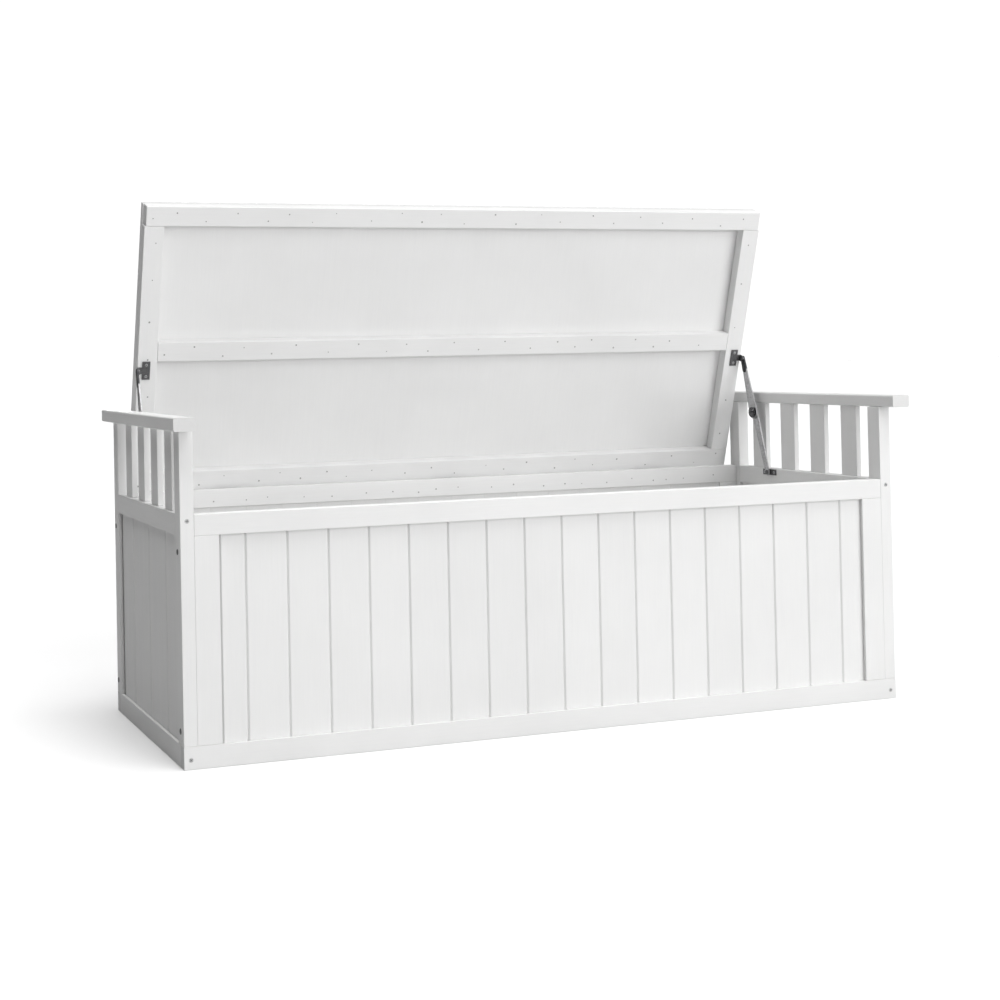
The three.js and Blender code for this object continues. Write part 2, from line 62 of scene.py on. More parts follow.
BOARD_WIDTH = 67.6 * MM  # front and rear boards
END_BOARD_WIDTH = 122 * MM
VEE_REACH = 2.5 * MM  # half of the vee joint's width, and its depth
TONGUE_LENGTH = 3 * MM
TONGUE_THICKNESS = 3 * MM
BOARD_GAP = 0.1 * MM
HIDDEN_EDGE = 6 * MM  # how far a board's edge runs into the frame's groove
SHOULDER_WIDTH = 5 * MM
SHOULDER_DEPTH = 5 * MM
BOARD_UNEVENNESS = 0.2 * MM  # how far a board may lie behind its neighbour

WOOD_EDGE = 1.1 * MM  # round-over of the frame's edges
BOARD_EDGE = 0.5 * MM
METAL_EDGE = 0.35 * MM
WELD_DISTANCE = 0.01 * MM
SHARP_ANGLE = 40  # degrees; flatter edges are left alone

SCREW_RADIUS = 3.7 * MM
SCREW_HEIGHT = 0.6 * MM
SCREW_BELOW_TOP = 10 * MM
SCREW_ABOVE_FLOOR = 15 * MM
BOLT_RADIUS = 4.6 * MM
BOLT_HEIGHT = 1.0 * MM
BOLT_LOW = 56 * MM
BOLT_HIGH = 330 * MM
FRONT_BOLT_INSET = 19 * MM
REAR_BOLT_INSET = 10 * MM
RECESS_DEPTH = 0.5 * MM
RECESS_DEPTH_SHARE = 0.9  # of the head's height, at most
RECESS_TAPER = 0.8  # of the recess's mouth, at its bottom
CROSS_REACH = 0.66  # of the head's radius, as are the next two
CROSS_HALF_WIDTH = 0.2
HEX_REACH = 0.48
HEAD_PROFILE = ((1.0, -0.3), (1.0, 0.35), (0.93, 0.75), (0.78, 1.0))  # shares of radius and height
HEAD_STEPS = 28

BRACKET_SCREW_RADIUS = 2.6 * MM
BRACKET_SCREW_HEIGHT = 0.9 * MM
BRACKET_SCREW_INSET = 6 * MM  # from the bracket's end
BRACKET_THICKNESS = 2 * MM
LID_BRACKET_WIDTH = 14 * MM  # without its tab
HINGE_SCREW_HEIGHT = 0.5 * MM
HINGE_SCREW_DROP = 0.36  # of the leaf's height, from its outer edge
HINGE_LEAF_THICKNESS = 1.5 * MM

NAIL_RADIUS = 1.6 * MM
NAIL_RADIUS_SHARES = (0.6, 1.15)
NAIL_HEIGHT = 0.25 * MM
NAIL_PROFILE = ((1.0, -0.5), (0.95, 0.4), (0.6, 1.0))  # shares of radius and height
NAIL_STEPS = 12
BATTEN_NAIL_ROWS = (0.68, 0.3)  # shares of the batten's width
BATTEN_NAIL_GAPS = (34, 68)  # least and most, in mm
SIDE_NAIL_GAPS = (62, 95)
RAIL_NAIL_GAPS = (28, 75)
RAIL_NAIL_DROPS = (14, 24)  # below the rail's top, in mm

ARM_RIM = 1.7 * MM  # rim left round the pressed channel of a stay arm
ARM_CHANNEL = 0.7 * MM
ARM_END_RADIUS = 5 * MM
FOOT_RADIUS = 6 * MM
UPPER_KNEE_RADIUS = 13 * MM
LOWER_KNEE_RADIUS = 9 * MM
CLIP_LENGTH = 22 * MM  # dark clip round the upper arm's end at the lid
CLIP_THICKNESS = 0.6 * MM
CLIP_TAPER = 0.8  # how far the clip follows the arm's taper
KNOB_STEPS = 32
KNOB_PROFILE = (  # radius, and depth below the CAD cap's crown, in mm
    (10.0, 4.0),
    (10.4, 1.2),
    (10.0, 0.4),
    (8.6, 0.2),
    (8.0, 0.6),
    (7.4, 1.6),
    (6.6, 1.4),
    (6.2, 0.0),
    (5.4, -1.4),
    (3.8, -2.4),
    (1.6, -2.8),
)

# ---------- Paint, floor and camera ----------

PAINT_COLOUR = (0.775, 0.775, 0.772)
# painted light: the lid's paint is lighter than the box's, standing in for light its underside lacks
LID_PAINTED_LIGHT_COLOUR = (0.83, 0.83, 0.828)
KNOT_COLOUR = (0.52, 0.49, 0.43)
KNOT_STRENGTH = 0.35
END_GRAIN_TONE = 0.87
GRAIN_STRETCH = 0.035  # the pattern's scale along the grain
GRAIN_SCALE = 420.0
BRUSH_SCALE = 120.0
MOTTLE_SCALE = 5.0
KNOT_SCALE = 3.2
PATINA_SCALE = 260.0
PATINA_TONE = 0.72

FLOOR_REACH = 60
FLOOR_WHITE = 0.9
FLOOR_BOUNCE = 0.46  # what the floor throws back on the bench

SENSOR_WIDTH = 36  # mm
CAMERA_FROM_POSTS = (-1.2627, -2.8545, 0.6256)  # from the floor, midway between the posts
CAMERA_YAW = 20.085  # degrees, from +Y towards +X
CAMERA_PITCH = 0.899
CAMERA_ROLL = -1.135
CAMERA_LENS = 62.77  # mm
CAMERA_SHIFT = (0.1175, -0.1724)

# ---------- The lid's own frame ----------

hinge = Vector(JOINTS["lid_hinge"]["pos_m"])
open_angle = math.radians(JOINTS["lid_hinge"]["range_deg"][1])
# Takes a point of the shut lid to where it is with the lid open.
LID_OPEN = (
    Matrix.Translation(hinge)
    @ Matrix.Rotation(-open_angle, 4, "X")
    @ Matrix.Translation(-hinge)
)


def axes(u, v, w):
    """The matrix whose local X, Y and Z run along u, v and w."""
    return Matrix((u, v, w)).transposed().to_4x4()


def node_box(node, place):
    """Lowest and highest corner of a CAD node, measured in the frame that place names."""
    inverse = place.inverted()
    points = [inverse @ vertex.co for vertex in NODES[node].data.vertices]
    low = Vector(min(point[axis] for point in points) for axis in range(3))
    high = Vector(max(point[axis] for point in points) for axis in range(3))
    return low, high


# ---------- Materials ----------


def new_material(name):
    material = bpy.data.materials.new(name)
    material.use_nodes = True
    nodes = material.node_tree.nodes
    shader = nodes["Principled BSDF"]
    return material, nodes, material.node_tree.links, shader


def math_node(nodes, links, operation, first, second):
    """A Math node whose inputs are sockets or plain numbers; returns its output."""
    node = nodes.new("ShaderNodeMath")
    node.operation = operation
    for socket, value in zip(node.inputs, (first, second)):
        if isinstance(value, bpy.types.NodeSocket):
            links.new(value, socket)
        else:
            socket.default_value = value
    return node.outputs[0]


def noise(nodes, links, vector, scale, detail, roughness=0.5):
    node = nodes.new("ShaderNodeTexNoise")
    node.inputs["Scale"].default_value = scale
    node.inputs["Detail"].default_value = detail
    node.inputs["Roughness"].default_value = roughness
    links.new(vector, node.inputs["Vector"])
    return node.outputs["Fac"]


def remap(nodes, links, value, source, target):
    """value taken from the range source to the range target, clamped."""
    node = nodes.new("ShaderNodeMapRange")
    links.new(value, node.inputs["Value"])
    node.inputs["From Min"].default_value = source[0]
    node.inputs["From Max"].default_value = source[1]
    node.inputs["To Min"].default_value = target[0]
    node.inputs["To Max"].default_value = target[1]
    return node.outputs["Result"]


def grain_vector(nodes, links, turn, along):
    """Object coordinates, turned back about X by turn and stretched along one axis (0, 1 or 2)."""
    coordinates = nodes.new("ShaderNodeTexCoord")
    turned = nodes.new("ShaderNodeVectorRotate")
    turned.rotation_type = "X_AXIS"
    turned.inputs["Angle"].default_value = turn
    links.new(coordinates.outputs["Object"], turned.inputs["Vector"])
    stretched = nodes.new("ShaderNodeMapping")
    scale = [1.0, 1.0, 1.0]
    scale[along] = GRAIN_STRETCH
    stretched.inputs["Scale"].default_value = scale
    links.new(turned.outputs["Vector"], stretched.inputs["Vector"])
    return turned.outputs["Vector"], stretched.outputs["Vector"]


def end_grain(nodes, links, turn, along):
    """1 on faces that cut across the grain, 0 elsewhere."""
    coordinates = nodes.new("ShaderNodeTexCoord")
    turned = nodes.new("ShaderNodeVectorRotate")
    turned.rotation_type = "X_AXIS"
    turned.inputs["Angle"].default_value = turn
    links.new(coordinates.outputs["Normal"], turned.inputs["Vector"])
    parts = nodes.new("ShaderNodeSeparateXYZ")
    links.new(turned.outputs["Vector"], parts.inputs["Vector"])
    facing_end = math_node(nodes, links, "ABSOLUTE", parts.outputs[along], 0.0)
    return remap(nodes, links, facing_end, (0.8, 0.95), (0.0, 1.0))


def painted_wood(name, along, turn=0.0, board=None, colour=None):
    """Satin white paint over close-grained wood. along is the grain's axis, turn the lid's
    angle, and board an (axis, width) pair where separate boards take the paint differently."""
    material, nodes, links, shader = new_material(name)
    plain, stretched = grain_vector(nodes, links, turn, along)
    grain = noise(nodes, links, stretched, GRAIN_SCALE, 4.0, 0.62)
    brush = noise(nodes, links, stretched, BRUSH_SCALE, 2.0, 0.5)
    mottle = noise(nodes, links, plain, MOTTLE_SCALE, 3.0, 0.55)

    tone = remap(nodes, links, mottle, (0.3, 0.7), (0.975, 1.02))
    grain_tone = remap(nodes, links, grain, (0.3, 0.75), (0.985, 1.01))
    tone = math_node(nodes, links, "MULTIPLY", tone, grain_tone)
    if board is not None:
        axis, width = board
        parts = nodes.new("ShaderNodeSeparateXYZ")
        links.new(plain, parts.inputs["Vector"])
        index = math_node(nodes, links, "DIVIDE", parts.outputs[axis], width)
        index = math_node(nodes, links, "FLOOR", index, 0.0)
        white = nodes.new("ShaderNodeTexWhiteNoise")
        white.noise_dimensions = "1D"
        links.new(index, white.inputs["W"])
        board_tone = remap(nodes, links, white.outputs["Value"], (0, 1), (0.98, 1.012))
        tone = math_node(nodes, links, "MULTIPLY", tone, board_tone)

    ends = end_grain(nodes, links, turn, along)
    end_tone = remap(nodes, links, ends, (0, 1), (1.0, END_GRAIN_TONE))
    tone = math_node(nodes, links, "MULTIPLY", tone, end_tone)

    knots = nodes.new("ShaderNodeTexVoronoi")
    knots.inputs["Scale"].default_value = KNOT_SCALE
    links.new(plain, knots.inputs["Vector"])
    knot = remap(nodes, links, knots.outputs["Distance"], (0.008, 0.02), (1.0, 0.0))

    white_paint = nodes.new("ShaderNodeMix")
    white_paint.data_type = "RGBA"
    white_paint.inputs["A"].default_value = (*(colour or PAINT_COLOUR), 1)
    white_paint.inputs["B"].default_value = (*KNOT_COLOUR, 1)
    links.new(math_node(nodes, links, "MULTIPLY", knot, KNOT_STRENGTH), white_paint.inputs["Factor"])
    shade = nodes.new("ShaderNodeVectorMath")
    shade.operation = "SCALE"
    links.new(white_paint.outputs["Result"], shade.inputs[0])
    links.new(tone, shade.inputs["Scale"])
    links.new(shade.outputs["Vector"], shader.inputs["Base Color"])

    links.new(remap(nodes, links, brush, (0.3, 0.7), (0.36, 0.5)), shader.inputs["Roughness"])
    shader.inputs["Specular IOR Level"].default_value = 0.4

    height = math_node(nodes, links, "MULTIPLY", grain, 0.55)
    height = math_node(nodes, links, "ADD", height, brush)
    height = math_node(nodes, links, "SUBTRACT", height, knot)
    bump = nodes.new("ShaderNodeBump")
    bump.inputs["Strength"].default_value = 0.35
    bump.inputs["Distance"].default_value = 0.12 * MM
    links.new(height, bump.inputs["Height"])
    links.new(bump.outputs["Normal"], shader.inputs["Normal"])
    return material


def worked_steel(name, colour, roughness, streak_scale, bump_depth):
    """Pressed steel: fine rolling streaks in its gloss and bumps, and uneven plating with a darker patina
    in patches.
    """
    material, nodes, links, shader = new_material(name)
    plain, _ = grain_vector(nodes, links, 0.0, 2)
    streaks_map = nodes.new("ShaderNodeMapping")
    streaks_map.inputs["Scale"].default_value = (1.0, 1.0, 0.08)
    links.new(plain, streaks_map.inputs["Vector"])
    streaks = noise(nodes, links, streaks_map.outputs["Vector"], streak_scale, 3.0)
    patina = noise(nodes, links, plain, PATINA_SCALE, 4.0, 0.6)
    tone = nodes.new("ShaderNodeMix")
    tone.data_type = "RGBA"
    tone.inputs["A"].default_value = (*(channel * PATINA_TONE for channel in colour), 1)
    tone.inputs["B"].default_value = (*colour, 1)
    links.new(remap(nodes, links, patina, (0.35, 0.6), (0.0, 1.0)), tone.inputs["Factor"])
    links.new(tone.outputs["Result"], shader.inputs["Base Color"])
    shader.inputs["Metallic"].default_value = 0.9
    rough = remap(nodes, links, streaks, (0.3, 0.7), (roughness - 0.06, roughness + 0.1))
    links.new(rough, shader.inputs["Roughness"])
    bump = nodes.new("ShaderNodeBump")
    bump.inputs["Strength"].default_value = 0.4
    bump.inputs["Distance"].default_value = bump_depth
    links.new(streaks, bump.inputs["Height"])
    links.new(bump.outputs["Normal"], shader.inputs["Normal"])
    return material


paint_along_x = painted_wood("paint_grain_x", 0)
paint_along_y = painted_wood("paint_grain_y", 1)
paint_along_z = painted_wood("paint_grain_z", 2)
paint_face_boards = painted_wood("paint_face_boards", 2, board=("X", BOARD_WIDTH))
paint_end_boards = painted_wood("paint_end_boards", 2, board=("Y", END_BOARD_WIDTH))
# the lid's three paints take the lighter colour, as painted light
painted_light_lid_boards = painted_wood("painted_light_lid_boards", 1, open_angle, colour=LID_PAINTED_LIGHT_COLOUR)
painted_light_lid_side = painted_wood("painted_light_lid_side", 1, open_angle, colour=LID_PAINTED_LIGHT_COLOUR)
painted_light_lid_across = painted_wood("painted_light_lid_across", 0, colour=LID_PAINTED_LIGHT_COLOUR)
zinc = worked_steel("zinc_steel", (0.56, 0.56, 0.57), 0.36, 700.0, 0.05 * MM)
dark_zinc = worked_steel("dark_steel_plate", (0.17, 0.17, 0.175), 0.38, 500.0, 0.06 * MM)
black_steel = worked_steel("black_steel_clip", (0.07, 0.07, 0.075), 0.45, 500.0, 0.05 * MM)
knob_steel = worked_steel("turned_steel_knob", (0.12, 0.12, 0.125), 0.22, 600.0, 0.02 * MM)

# ---------- Finish of the CAD nodes ----------


def soften(piece, width, segments=3):
    """Rounds the hard edges of a piece and evens its normals."""
    for polygon in piece.data.polygons:
        polygon.use_smooth = True
    weld = piece.modifiers.new("weld", "WELD")
    weld.merge_threshold = WELD_DISTANCE
    bevel = piece.modifiers.new("edges", "BEVEL")
    bevel.width = width
    bevel.segments = segments
    bevel.limit_method = "ANGLE"
    bevel.angle_limit = math.radians(SHARP_ANGLE)
    bevel.harden_normals = True
    normals = piece.modifiers.new("normals", "WEIGHTED_NORMAL")
    normals.keep_sharp = True


def wood_material(node):
    """The paint whose grain runs along this wooden node."""
    if node.startswith("lid_batten_left") or node.startswith("lid_batten_right"):
        return painted_light_lid_side
    if node.startswith("lid_batten"):
        return painted_light_lid_across
    low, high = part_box(node)
    size = high - low
    return (paint_along_x, paint_along_y, paint_along_z)[max(range(3), key=lambda axis: size[axis])]


METAL_NODES = {
    "hinge": (zinc, METAL_EDGE),
    "stay_lid_bracket": (dark_zinc, METAL_EDGE),
    "stay_box_bracket": (dark_zinc, METAL_EDGE),
    "stay_knee_rivet": (dark_zinc, METAL_EDGE),
}
BOARD_NODES = ("front_boards", "rear_boards", "end_boards_left", "end_boards_right")


def finish_nodes():
    for name, node in NODES.items():
        if name in BOARD_NODES or "_arm_" in name and name.startswith("stay"):
            continue
        kind = next((key for key in METAL_NODES if name.startswith(key)), None)
        if name == "lid_boards":
            material, edge = painted_light_lid_boards, BOARD_EDGE
        elif kind is None:
            material, edge = wood_material(name), WOOD_EDGE
        else:
            material, edge = METAL_NODES[kind]
        for slot in node.material_slots:
            slot.material = material
        soften(node, edge)


# ---------- Mesh helpers ----------


def object_from(name, mesh, material, body, replaced=()):
    """A new piece with that mesh, riding on a body."""
    piece = bpy.data.objects.new(name, mesh)
    bpy.context.scene.collection.objects.link(piece)
    piece.data.materials.append(material)
    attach(piece, body)
    if replaced:
        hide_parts(*replaced)
    return piece


def mesh_from(name, bm, place):
    bmesh.ops.recalc_face_normals(bm, faces=bm.faces)
    mesh = bpy.data.meshes.new(name)
    bm.to_mesh(mesh)
    bm.free()
    mesh.transform(place)
    return mesh


def ring(bm, outline, depth):
    """A closed loop of vertices on the (Y, Z) outline at X = depth."""
    return [bm.verts.new((depth, y, z)) for y, z in outline]


def bridge(bm, first, second):
    """Quads between two loops with the same number of vertices."""
    count = len(first)
    for index in range(count):
        after = (index + 1) % count
        bm.faces.new((first[index], first[after], second[after], second[index]))


# ---------- Boards ----------


def board_profile(u, depth, inner_left, inner_right):
    """Cross-section (u, v) of one board: vees on the show face, a groove on the left, a tongue on the
    right, each only where a neighbour meets it.
    The first board, cut to fit, has a sloped shoulder along the frame; the last one is square."""
    left, right = u
    near, far = depth
    middle = (near + far) / 2
    half = TONGUE_THICKNESS / 2
    slack = 2 * BOARD_GAP
    points = []
    if inner_left:
        points += [(left, near + VEE_REACH), (left + VEE_REACH, near)]
    else:
        points += [(left, near + SHOULDER_DEPTH), (left + HIDDEN_EDGE, near + SHOULDER_DEPTH)]
        points += [(left + HIDDEN_EDGE + SHOULDER_WIDTH, near)]
    if inner_right:
        points += [
            (right - VEE_REACH, near),
            (right, near + VEE_REACH),
            (right, middle - half),
            (right + TONGUE_LENGTH, middle - half),
            (right + TONGUE_LENGTH, middle + half),
            (right, middle + half),
        ]
    else:
        points += [(right, near)]
    points += [(right, far), (left, far)]
    if inner_left:
        inner = left + TONGUE_LENGTH + slack
        points += [
            (left, middle + half + slack),
            (inner, middle + half + slack),
            (inner, middle - half - slack),
            (left, middle - half - slack),
        ]
    return points


def board_mesh(name, profile, ends, place):
    bm = bmesh.new()
    loops = [[bm.verts.new((u, v, w)) for u, v in profile] for w in ends]
    bridge(bm, *loops)
    for loop in loops:
        bm.faces.new(loop)
    return mesh_from(name, bm, place)


def board_panel(node, prefix, place, width, material, body, uneven, edge):
    """Separate tongued boards in the space of a CAD board node, jointed at multiples of width."""
    rng = random.Random(prefix)
    low, high = node_box(node, place)
    reach = (high.x - low.x) / 2
    middle = (high.x + low.x) / 2
    joints = int((reach - HIDDEN_EDGE - 2 * VEE_REACH) / width)
    edges = [low.x] + [middle + index * width for index in range(-joints, joints + 1)] + [high.x]
    last = len(edges) - 2
    for index in range(last + 1):
        left = edges[index] + (BOARD_GAP / 2 if index else 0)
        right = edges[index + 1] - (BOARD_GAP / 2 if index < last else 0)
        drop = rng.uniform(0, uneven)
        profile = board_profile((left, right), (low.y + drop, high.y), index > 0, index < last)
        name = f"{prefix}_{index + 1:02d}"
        mesh = board_mesh(name, profile, (low.z, high.z), place)
        piece = object_from(name, mesh, material, body, [node])
        soften(piece, edge, 2)


FRONT_PLACE = axes((1, 0, 0), (0, 1, 0), (0, 0, 1))
REAR_PLACE = axes((-1, 0, 0), (0, -1, 0), (0, 0, 1))
LEFT_PLACE = axes((0, -1, 0), (1, 0, 0), (0, 0, 1))
RIGHT_PLACE = axes((0, 1, 0), (-1, 0, 0), (0, 0, 1))


def all_boards():
    face = (BOARD_WIDTH, paint_face_boards, "box", BOARD_UNEVENNESS, BOARD_EDGE)
    end = (END_BOARD_WIDTH, paint_end_boards, "box", BOARD_UNEVENNESS, BOARD_EDGE)
    board_panel("front_boards", "front_board", FRONT_PLACE, *face)
    board_panel("rear_boards", "rear_board", REAR_PLACE, *face)
    board_panel("end_boards_left", "left_end_board", LEFT_PLACE, *end)
    board_panel("end_boards_right", "right_end_board", RIGHT_PLACE, *end)


# ---------- Fasteners ----------


def cross_outline(reach, half_width):
    """Twelve corners of a cross recess."""
    quarter = [(reach, -half_width), (reach, half_width), (half_width, half_width)]
    points = []
    for turn in range(4):
        cosine = math.cos(turn * math.pi / 2)
        sine = math.sin(turn * math.pi / 2)
        for x, y in quarter:
            points.append((x * cosine - y * sine, x * sine + y * cosine))
    return points


def circle(radius, count):
    angles = [2 * math.pi * step / count for step in range(count)]
    return [(radius * math.cos(angle), radius * math.sin(angle)) for angle in angles]


def placed_ring(bm, place, outline, height):
    """A closed loop of vertices on the (X, Y) outline at that height in the frame place."""
    return [bm.verts.new(place @ Vector((x, y, height))) for x, y in outline]


def driven_head(bm, place, radius, height, recess, recess_depth):
    """A low domed head along +Z at place, with a recess of that outline sunk into its crown."""
    loops = [
        placed_ring(bm, place, circle(share * radius, HEAD_STEPS), level * height)
        for share, level in HEAD_PROFILE
    ]
    for lower, upper in zip(loops, loops[1:]):
        bridge(bm, lower, upper)
    bm.faces.new(loops[0])
    top = placed_ring(bm, place, recess, height)
    narrowed = [(x * RECESS_TAPER, y * RECESS_TAPER) for x, y in recess]
    bottom = placed_ring(bm, place, narrowed, height - recess_depth)
    bridge(bm, top, bottom)
    bm.faces.new(bottom)
    # the recess's walls and floor take material 1, a dark grey painted shade
    for vertex in bottom:
        for face in vertex.link_faces:
            face.material_index = 1
    rim = []
    for loop in (loops[-1], top):
        for index, vertex in enumerate(loop):
            after = loop[(index + 1) % len(loop)]
            rim.append(bm.edges.get((vertex, after)) or bm.edges.new((vertex, after)))
    bmesh.ops.triangle_fill(bm, use_beauty=True, edges=rim)


def facing(point, normal, turn=0.0):
    """A frame at point whose +Z runs along normal, turned about it."""
    spin = Vector(normal).to_track_quat("Z", "Y").to_matrix().to_4x4()
    return Matrix.Translation(point) @ spin @ Matrix.Rotation(turn, 4, "Z")


def screw_group(name, places, radius, height, material, body, socket="cross"):
    """One piece holding several equal heads, each at its own place."""
    bm = bmesh.new()
    if socket == "cross":
        recess = cross_outline(radius * CROSS_REACH, radius * CROSS_HALF_WIDTH)
    else:
        recess = circle(radius * HEX_REACH, 6)
    for place in places:
        driven_head(bm, place, radius, height, recess, min(height * RECESS_DEPTH_SHARE, RECESS_DEPTH))
    mesh = mesh_from(name, bm, Matrix.Identity(4))
    piece = object_from(name, mesh, material, body)
    # second material: painted shade in the recesses
    piece.data.materials.append(painted_recess_shade)
    return piece


def frame_screws():
    """Countersunk screws through the front and rear frames' corners."""
    rng = random.Random("frame screws")
    for face_name, face in FACES:
        for side_name, _ in SIDES:
            low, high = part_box(f"post_{face_name}_{side_name}")
            x = (low.x + high.x) / 2
            y = high.y if face > 0 else low.y
            heights = (
                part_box(f"{face_name}_top_rail")[1].z - SCREW_BELOW_TOP,
                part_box(f"base_{face_name}_rail")[0].z + SCREW_ABOVE_FLOOR,
            )
            places = [facing((x, y, z), (0, face, 0), rng.uniform(0, math.pi)) for z in heights]
            screw_group(
                f"frame_screws_{face_name}_{side_name}", places, SCREW_RADIUS, SCREW_HEIGHT,
                painted_screw, "box",
            )


def end_bolts():
    """Socket bolts through the posts from the ends."""
    rng = random.Random("end bolts")
    for side_name, side in SIDES:
        for face_name, face in FACES:
            low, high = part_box(f"post_{face_name}_{side_name}")
            x = high.x if side > 0 else low.x
            inset = FRONT_BOLT_INSET if face < 0 else REAR_BOLT_INSET
            y = high.y - inset if face > 0 else low.y + inset
            places = [
                facing((x, y, z), (side, 0, 0), rng.uniform(0, math.pi))
                for z in (BOLT_LOW, BOLT_HIGH)
            ]
            screw_group(
                f"end_bolts_{face_name}_{side_name}", places, BOLT_RADIUS, BOLT_HEIGHT,
                dark_zinc, "box", "hex",
            )


def hinge_screws():
    """Three screws in every hinge leaf."""
    for number in (1, 2, 3):
        for leaf, body, place in (("box_leaf", "box", Matrix.Identity(4)), ("lid_leaf", "lid", LID_OPEN)):
            node = f"hinge_{number}_{leaf}"
            low, high = node_box(node, place)
            middle = (low.x + high.x) / 2
            spread = (high.x - low.x) / 3
            drop = HINGE_SCREW_DROP * (high.z - low.z)
            flap_z = low.z + drop if leaf == "box_leaf" else high.z - drop
            face_y = low.y + HINGE_LEAF_THICKNESS
            places = [
                place @ facing((middle + step * spread, face_y, flap_z), (0, 1, 0), 0.4 + step)
                for step in (-1, 0, 1)
            ]
            screw_group(
                f"hinge_{number}_{leaf}_screws", places, BRACKET_SCREW_RADIUS, HINGE_SCREW_HEIGHT,
                zinc, body,
            )


def bracket_screws():
    """Two screws in each of the stays' brackets."""
    for side_name, side in SIDES:
        low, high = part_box(f"stay_box_bracket_{side_name}")
        middle_y = JOINTS[f"stay_foot_{side_name}"]["pos_m"][1]
        middle_z = (low.z + high.z) / 2
        plate = high.x - BRACKET_THICKNESS if side > 0 else low.x + BRACKET_THICKNESS
        reach = (high.y - low.y) / 2 - BRACKET_SCREW_INSET
        places = [
            facing((plate, middle_y + step * reach, middle_z), (-side, 0, 0), 0.5 + step)
            for step in (-1, 1)
        ]
        screw_group(
            f"stay_box_bracket_screws_{side_name}", places, BRACKET_SCREW_RADIUS, BRACKET_SCREW_HEIGHT,
            zinc, "box",
        )
        low, high = node_box(f"stay_lid_bracket_{side_name}", LID_OPEN)
        plate_z = high.z - BRACKET_THICKNESS
        inner_x = low.x if side > 0 else high.x
        middle_x = inner_x + side * LID_BRACKET_WIDTH / 2
        middle_y = (low.y + high.y) / 2
        reach = (high.y - low.y) / 2 - BRACKET_SCREW_INSET
        places = [
            LID_OPEN @ facing((middle_x, middle_y + step * reach, plate_z), (0, 0, -1), 0.3 + step)
            for step in (-1, 1)
        ]
        screw_group(
            f"stay_lid_bracket_screws_{side_name}", places, BRACKET_SCREW_RADIUS, BRACKET_SCREW_HEIGHT,
            zinc, "lid",
        )


def nail_heads(name, points, normal, place, body):
    """Small domed nail heads, filled and painted over, in one piece; their mid grey is painted shade,
    standing in for the shade in the nails' dimples.
    """
    rng = random.Random(name)
    bm = bmesh.new()
    for point in points:
        spot = place @ facing(point, normal)
        radius = NAIL_RADIUS * rng.uniform(*NAIL_RADIUS_SHARES)
        loops = [
            placed_ring(bm, spot, circle(share * radius, NAIL_STEPS), level * NAIL_HEIGHT)
            for share, level in NAIL_PROFILE
        ]
        for lower, upper in zip(loops, loops[1:]):
            bridge(bm, lower, upper)
        bm.faces.new(loops[0])
        bm.faces.new(loops[-1])
    mesh = mesh_from(name, bm, Matrix.Identity(4))
    return object_from(name, mesh, nail_painted_shade, body)


def batten_nails():
    """Nails that hold the lid's boards to its battens, in two uneven rows along each batten."""
    rng = random.Random("batten nails")
    for name in ("front", "middle", "rear"):
        low, high = node_box(f"lid_batten_{name}", LID_OPEN)
        points = []
        x = low.x + 12 * MM
        row = 0
        while x < high.x - 10 * MM:
            share = BATTEN_NAIL_ROWS[row % 2]
            y = low.y + (share + rng.uniform(-0.08, 0.08)) * (high.y - low.y)
            points.append((x, y, low.z))
            x += rng.uniform(*BATTEN_NAIL_GAPS) * MM
            row += 1
        nail_heads(f"lid_nails_{name}", points, (0, 0, -1), LID_OPEN, "lid")
    for side_name, _ in SIDES:
        low, high = node_box(f"lid_batten_{side_name}", LID_OPEN)
        points = []
        y = low.y + 30 * MM
        while y < high.y - 20 * MM:
            x = low.x + (0.5 + rng.uniform(-0.15, 0.15)) * (high.x - low.x)
            points.append((x, y, low.z))
            y += rng.uniform(*SIDE_NAIL_GAPS) * MM
        nail_heads(f"lid_nails_{side_name}", points, (0, 0, -1), LID_OPEN, "lid")


def rail_nails():
    """Nails along the inner face of the rear top rail."""
    rng = random.Random("rail nails")
    low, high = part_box("rear_top_rail")
    points = []
    x = low.x + 25 * MM
    while x < high.x - 20 * MM:
        points.append((x, low.y, high.z - rng.uniform(*RAIL_NAIL_DROPS) * MM))
        x += rng.uniform(*RAIL_NAIL_GAPS) * MM
    nail_heads("rear_rail_nails", points, (0, -1, 0), Matrix.Identity(4), "box")


def plain_finish(name, colour, roughness, speckle):
    """A nearly plain finish with fine speckle in its colour and gloss: the painted screw heads' own grey,
    and the painted shade of the nail heads and screw recesses.
    """
    material, nodes, links, shader = new_material(name)
    coordinates = nodes.new("ShaderNodeTexCoord")
    grains = noise(nodes, links, coordinates.outputs["Object"], 900.0, 3.0, 0.6)
    tone = nodes.new("ShaderNodeMix")
    tone.data_type = "RGBA"
    tone.inputs["A"].default_value = (*(channel * (1 - speckle) for channel in colour), 1)
    tone.inputs["B"].default_value = (*colour, 1)
    links.new(remap(nodes, links, grains, (0.35, 0.6), (0.0, 1.0)), tone.inputs["Factor"])
    links.new(tone.outputs["Result"], shader.inputs["Base Color"])
    gloss = remap(nodes, links, grains, (0.3, 0.7), (roughness, roughness + 0.12))
    links.new(gloss, shader.inputs["Roughness"])
    return material


# mid grey nail heads: painted shade of the nail dimples
nail_painted_shade = plain_finish("nail_head_painted_shade", (0.5, 0.5, 0.49), 0.5, 0.6)
painted_screw = plain_finish("painted_screw", (0.62, 0.62, 0.62), 0.4, 0.3)
# dark grey for the screw recesses: painted shade
painted_recess_shade = plain_finish("screw_recess_painted_shade", (0.24, 0.24, 0.24), 0.6, 0.4)

# ---------- Stay arms ----------


